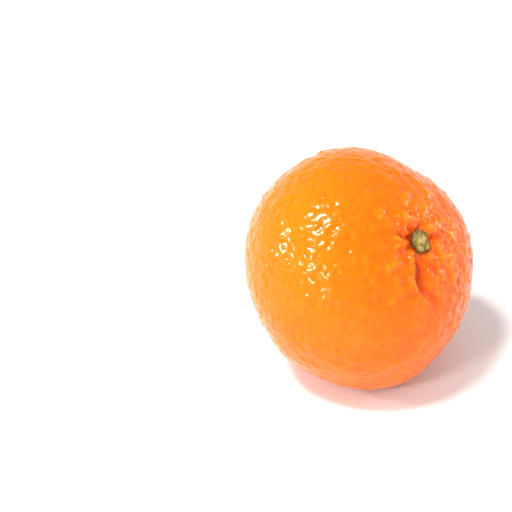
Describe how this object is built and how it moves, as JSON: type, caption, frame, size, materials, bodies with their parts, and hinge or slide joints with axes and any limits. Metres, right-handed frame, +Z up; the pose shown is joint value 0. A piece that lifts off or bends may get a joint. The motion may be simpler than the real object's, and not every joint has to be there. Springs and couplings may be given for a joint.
{
  "type": "mandarin",
  "caption": "Whole ripe mandarin lying on a small flat spot, stem end leaning forward, with a dry calyx button and a furrow beside it.",
  "frame": {"origin": "on the surface the fruit lies on, at the middle of its box", "axes": "+Z up, the stem end leans 50 degrees from upright towards -Y, +X to the right seen from the stem's side"},
  "size_m": [0.068, 0.062, 0.0635],
  "materials": {
    "rind": "satin",
    "dry_calyx": "matte"
  },
  "bodies": {
    "root": {"fruit": "rind", "calyx": "dry_calyx"}
  },
  "joints": []
}
